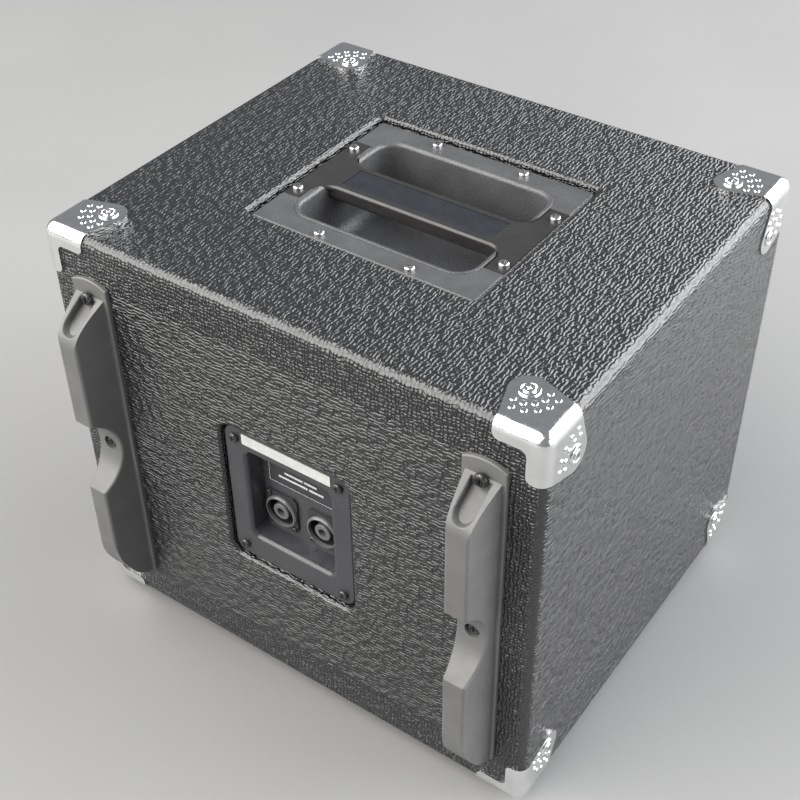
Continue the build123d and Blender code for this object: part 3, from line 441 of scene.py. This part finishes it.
FINISHES = {
    "vinyl": vinyl("vinyl", 1),
    "tray_plastic": stippled("tray_plastic", (0.06, 0.061, 0.064), 0.3, 0.9 * MM, 0.2 * MM),
    "bar_plastic": smooth_plastic("bar_plastic", (0.02, 0.019, 0.019), 0.3),
    "name_plate": smooth_plastic("name_plate", (0.012, 0.013, 0.018), 0.38),
    "black_zinc": coated_metal("black_zinc", (0.016, 0.016, 0.017), 0.22, (0.5, 0.5, 0.5), 0.02),
    "steel_screw": plated("steel_screw", (0.62, 0.62, 0.62), 0.16, 0.3, 0.01 * MM),
    "jack_plastic": smooth_plastic("jack_plastic", (0.03, 0.031, 0.034), 0.26),
    "label": label_strip(),
    "legend": smooth_plastic("legend", (0.02, 0.02, 0.023), 0.4),
    "socket_black": stippled("socket_black", (0.018, 0.018, 0.02), 0.4, 0.4 * MM, 0.03 * MM),
    "socket_ring": smooth_plastic("socket_ring", (0.09, 0.092, 0.094), 0.28),
    "socket_core": smooth_plastic("socket_core", (0.08, 0.082, 0.084), 0.32),
    "runner": rubbery("runner", (0.095, 0.095, 0.093), 0.4),
    "corner_chrome": plated("corner_chrome", (0.78, 0.79, 0.78), 0.08, 0.2, 0.02 * MM),
    "corner_screw": plated("corner_screw", (0.8, 0.8, 0.79), 0.1, 0.22, 0.01 * MM),
    "foot_rubber": rubbery("foot_rubber", (0.02, 0.02, 0.02), 0.6),
    "grille_steel": powder_coat("grille_steel", (0.015, 0.015, 0.016), 0.42),
    "batten_black": stained_wood(),
    "badge": brushed("badge", (0.6, 0.61, 0.62), 0.3, 0),
    "basket": powder_coat("basket", (0.035, 0.035, 0.038), 0.45),
    "ferrite": ferrite(),
    "plated_steel": plated("plated_steel", (0.5, 0.49, 0.45), 0.25, 0.42, 0.02 * MM),
    "gasket": rubbery("gasket", (0.02, 0.02, 0.02), 0.75, grain=0.9 * MM),
    "board": board(),
    "cable": rubbery("cable", (0.014, 0.014, 0.014), 0.5),
    "clip": smooth_plastic("clip", (0.62, 0.62, 0.6), 0.45, Subsurface_Weight=0.05),
    "cone": paper_cone(),
    "coil": winding(),
    "surround": rubbery("surround", (0.014, 0.014, 0.014), 0.42, grain=0.5 * MM),
    "spider": woven("spider", (0.3, 0.2, 0.06), (0.55, 0.4, 0.16), 0.9 * MM),
    "wadding": fleece(),
}

# ply panels differ in the direction that they are thin in
PLY = {
    "panel_top": plywood("ply_top", 2, 0, blacked="handle_tray"),
    "panel_bottom": plywood("ply_level", 2, 0),
    "panel_left": plywood("ply_side", 0, 2),
    "panel_rear": plywood("ply_rear", 1, 0, blacked="jack_plate"),
    "panel_battens": plywood("ply_upright", 1, 0),
}
for twin in ("panel_right", "brace_post"):
    PLY[twin] = PLY["panel_left"]


REAR_SHEET = vinyl("vinyl_rear_sheet", 0)


def slot_of(node):
    """The record's material slot of a CAD node."""
    return node.data.materials[0].name


def dress(obj, finish):
    obj.data.materials.clear()
    obj.data.materials.append(finish.material)


NODE_SLOTS = {name: slot_of(node) for name, node in NODES.items()}
# the baffle is painted black behind the grille, and the runners' screws are blackened
OWN_FINISH = {**PLY, "vinyl_rear": REAR_SHEET, "front_baffle": FINISHES["batten_black"],
              "runner_screws": FINISHES["black_zinc"]}
for name, node in NODES.items():
    dress(node, OWN_FINISH[name] if name in OWN_FINISH else FINISHES[NODE_SLOTS[name]])


# ---------------------------------------------------------------- pieces made here

def new_piece(name, vertices, faces, finish, smooth=True):
    mesh = bpy.data.meshes.new(name)
    mesh.from_pydata([tuple(v) for v in vertices], [], [tuple(f) for f in faces])
    mesh.validate()
    if smooth:
        mesh.shade_smooth()
    obj = bpy.data.objects.new(name, mesh)
    bpy.context.scene.collection.objects.link(obj)
    dress(obj, finish)
    return obj


def spun_ring(name, centre, outline, steps, finish):
    """A closed outline of (radius, height along Y) spun round an axis along Y."""
    count = len(outline)
    vertices = []
    for step in range(steps):
        angle = 2 * math.pi * step / steps
        for radius, y in outline:
            across, up = radius * math.cos(angle), radius * math.sin(angle)
            vertices.append((centre.x + across, y, centre.z + up))
    faces = []
    for step in range(steps):
        here, there = step * count, (step + 1) % steps * count
        for k in range(count):
            after = (k + 1) % count
            faces.append((here + k, here + after, there + after, there + k))
    return new_piece(name, vertices, faces, finish)


def thick_outline(line, thickness):
    """A closed outline round an open line of (radius, y) points, thickness wide."""
    points = np.array(line)
    slope = np.gradient(points, axis=0)
    slope /= np.linalg.norm(slope, axis=1)[:, None]
    normal = np.stack([-slope[:, 1], slope[:, 0]], axis=1) * thickness / 2
    return [tuple(p) for p in points + normal] + [tuple(p) for p in (points - normal)[::-1]]


def stretch_between(piece):
    """Bakes the piece's placement into its mesh."""
    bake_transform(piece)


SURROUND_STEPS = 144
SPIDER_STEPS = 96


def surround(number):
    """Butyl half roll between the cone's rim and the basket, with flat glued lands."""
    node = f"surround_{number}"
    low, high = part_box(node)
    centre = (low + high) / 2
    outer = (high.x - low.x) / 2
    cone_low, cone_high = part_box(f"cone_{number}")
    rim = (cone_high.x - cone_low.x) / 2
    skin = 0.7 * MM
    glued_in, glued_out = 2.6 * MM, 4.2 * MM
    arc_steps, fullness = 16, 0.8
    land = high.y - skin / 2
    roll_in = rim + 0.6 * MM
    roll_out = outer - glued_out
    middle = (roll_in + roll_out) / 2
    half = (roll_out - roll_in) / 2
    rise = land - low.y - skin / 2
    line = [(rim - glued_in, land), (rim - 0.9 * MM, land)]
    for k in range(arc_steps + 1):
        turn = math.pi * k / arc_steps
        line.append((middle - half * math.cos(turn), land - rise * math.sin(turn) ** fullness))
    line += [(roll_out + 1.2 * MM, land), (outer, land)]
    piece = spun_ring(f"surround_roll_{number}", centre, thick_outline(line, skin),
                      SURROUND_STEPS, FINISHES["surround"])
    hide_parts(node)
    stretch_between(piece)


def spider(number):
    """Corrugated cloth disc that centres the voice coil."""
    node = f"spider_{number}"
    low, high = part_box(node)
    centre = (low + high) / 2
    outer = (high.x - low.x) / 2
    inner = 13.3 * MM
    skin = 0.35 * MM
    swing = (high.y - low.y - skin) / 2 * 0.95
    line = []
    rings = 5
    points = rings * 12
    flat_in, flat_out = 0.06, 0.08
    for k in range(points + 1):
        share = k / points
        calm = min(1.0, share / flat_in, (1 - share) / flat_out)
        line.append((inner + (outer - inner) * share,
                     centre.y + swing * calm * math.sin(2 * math.pi * rings * share)))
    piece = spun_ring(f"spider_disc_{number}", centre, thick_outline(line, skin),
                      SPIDER_STEPS, FINISHES["spider"])
    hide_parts(node)
    stretch_between(piece)


def wadding_pad(name, low, high):
    """A soft fibre pad with a lumpy face and pulled-in edges, inside the given box."""
    size = high - low
    counts = (8, 36, 46)
    pinch, lumps, bulge = 0.42, 0.05, 0.02
    shares, index, faces = [], {}, []

    def corner(place):
        """The point of the pad's shell at a grid place, made once."""
        if place not in index:
            index[place] = len(shares)
            shares.append(Vector([place[n] / counts[n] for n in range(3)]))
        return index[place]

    for axis in range(3):
        a, b = (axis + 1) % 3, (axis + 2) % 3
        for end in (0, counts[axis]):
            for i in range(counts[a]):
                for j in range(counts[b]):
                    quad = []
                    for di, dj in ((0, 0), (1, 0), (1, 1), (0, 1)):
                        place = [0, 0, 0]
                        place[axis] = end
                        place[a] = i + di
                        place[b] = j + dj
                        quad.append(corner(tuple(place)))
                    faces.append(quad if end else quad[::-1])
    places = []
    for share in shares:
        at = share * 2 - Vector((1, 1, 1))
        wave = (math.sin(share.y * 23 + share.z * 9) * math.sin(share.z * 17 - share.y * 5)
                + 0.6 * math.sin(share.y * 41 + share.x * 3) * math.sin(share.z * 37 + 1.3))
        thin = 1.0 - pinch * max(abs(at.y), abs(at.z)) ** 10 - lumps * (1 + wave)
        inward = 1.0 - bulge * abs(at.x) ** 2
        shaped = Vector((at.x * thin, at.y * inward, at.z * inward))
        places.append([low[n] + size[n] * (shaped[n] + 1) / 2 for n in range(3)])
    piece = new_piece(name, places, faces, FINISHES["wadding"])
    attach(piece, "cabinet")
    return piece


def wadding():
    """A pad on each side wall."""
    low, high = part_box("wadding")
    inner = min(abs(v.co.x) for v in NODES["wadding"].data.vertices)
    left = wadding_pad("wadding_pad_left", low, Vector((-inner, high.y, high.z)))
    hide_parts("wadding")
    wadding_pad("wadding_pad_right", Vector((inner, low.y, low.z)), high)


def printed_bars():
    """Plain printed bars on the legend plate, in place of lettering, and a thin outline."""
    low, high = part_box("legend_plate")
    face = high.y
    sunk, lift = 0.02 * MM, 0.06 * MM
    middle = (low.x + high.x) / 2
    vertices, faces = [], []

    def patch(x0, x1, z0, z1):
        start = len(vertices)
        for y in (face - sunk, face + lift):
            vertices.extend([(x0, y, z0), (x1, y, z0), (x1, y, z1), (x0, y, z1)])
        for quad in ((0, 1, 2, 3), (7, 6, 5, 4), (0, 4, 5, 1),
                     (1, 5, 6, 2), (2, 6, 7, 3), (3, 7, 4, 0)):
            faces.append([start + n for n in quad])

    margin = 1.3 * MM
    line = 0.35 * MM
    left, right = low.x + margin, high.x - margin
    bottom, top = low.z + margin, high.z - margin
    patch(left, right, bottom, bottom + line)
    patch(left, right, top - line, top)
    patch(left, left + line, bottom + line, top - line)
    patch(right - line, right, bottom + line, top - line)
    first, pitch, bar, break_wide = 4.2 * MM, 4.6 * MM, 1.7 * MM, 1.2 * MM
    rows = ((0.62, 0.16), (0.8, 0.3), (0.5, 0.22), (0.7, 0.36))
    for row, (reach, break_at) in enumerate(rows):
        z = top - first - row * pitch
        half = reach * (right - left) / 2
        patch(middle - half, middle - half * break_at, z, z + bar)
        patch(middle - half * break_at + break_wide, middle + half, z, z + bar)
    piece = new_piece("legend_print", vertices, faces, print_ink(), smooth=False)
    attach(piece, "cabinet")


for driver in (1, 2, 3, 4):
    surround(driver)
    spider(driver)
wadding()
printed_bars()


# ---------------------------------------------------------------- studio

FLOOR_SIZE = 9


def floor():
    bpy.ops.mesh.primitive_plane_add(size=FLOOR_SIZE)
    plane = bpy.context.object
    plane.name = "floor"
    f = Finish("floor_paper", (0.2, 0.2, 0.2), 0.75)
    f.relief(f.noise(3 * MM, detail=3), 0.05 * MM)
    vary_color(f, 400 * MM, 0.03)
    dress(plane, f)


def softbox(name, toward, distance, width, height, power, color):
    """An area light that faces the cabinet's middle from the given direction."""
    light = bpy.data.lights.new(name, "AREA")
    light.shape = "RECTANGLE"
    light.size = width
    light.size_y = height
    light.energy = power
    light.color = color
    obj = bpy.data.objects.new(name, light)
    bpy.context.scene.collection.objects.link(obj)
    centre = (CAD_BOX[0] + CAD_BOX[1]) / 2
    direction = Vector(toward).normalized()
    obj.location = centre + direction * distance
    obj.rotation_euler = direction.to_track_quat("Z", "Y").to_euler()


def daylight(strength):
    world = bpy.data.worlds.new("studio")
    bpy.context.scene.world = world
    world.use_nodes = True
    background = world.node_tree.nodes["Background"]
    background.inputs["Color"].default_value = (0.9, 0.93, 1.0, 1.0)
    background.inputs["Strength"].default_value = strength


def camera():
    """Stands behind, to the left and above, and looks down on the rear and the handle."""
    data = bpy.data.cameras.new("camera")
    data.lens = 61.26
    data.sensor_width = 36.0
    obj = bpy.data.objects.new("camera", data)
    bpy.context.scene.collection.objects.link(obj)
    eye = Vector((-0.4299, 0.6177, 0.8063))
    heading = Vector((0.44516, -0.62290, -0.64329))
    roll = math.radians(-0.764)
    obj.location = eye
    obj.rotation_mode = "QUATERNION"
    obj.rotation_quaternion = heading.to_track_quat("-Z", "Y") @ Quaternion((0, 0, 1), roll)
    bpy.context.scene.camera = obj


WARM, COOL = (1.0, 0.985, 0.95), (0.98, 0.99, 1.0)

floor()
daylight(0.3)
softbox("right_box", toward=(0.5, 0.6, 0.62), distance=2.6, width=3.8, height=3.6, power=290,
        color=WARM)
softbox("front_box", toward=(-0.64, -0.64, 0.43), distance=2.6, width=4.0, height=2.5, power=230,
        color=COOL)
softbox("left_box", toward=(-0.95, -0.1, 0.3), distance=2.2, width=1.8, height=1.2, power=35,
        color=COOL)
camera()
bpy.context.scene.view_settings.view_transform = "Standard"
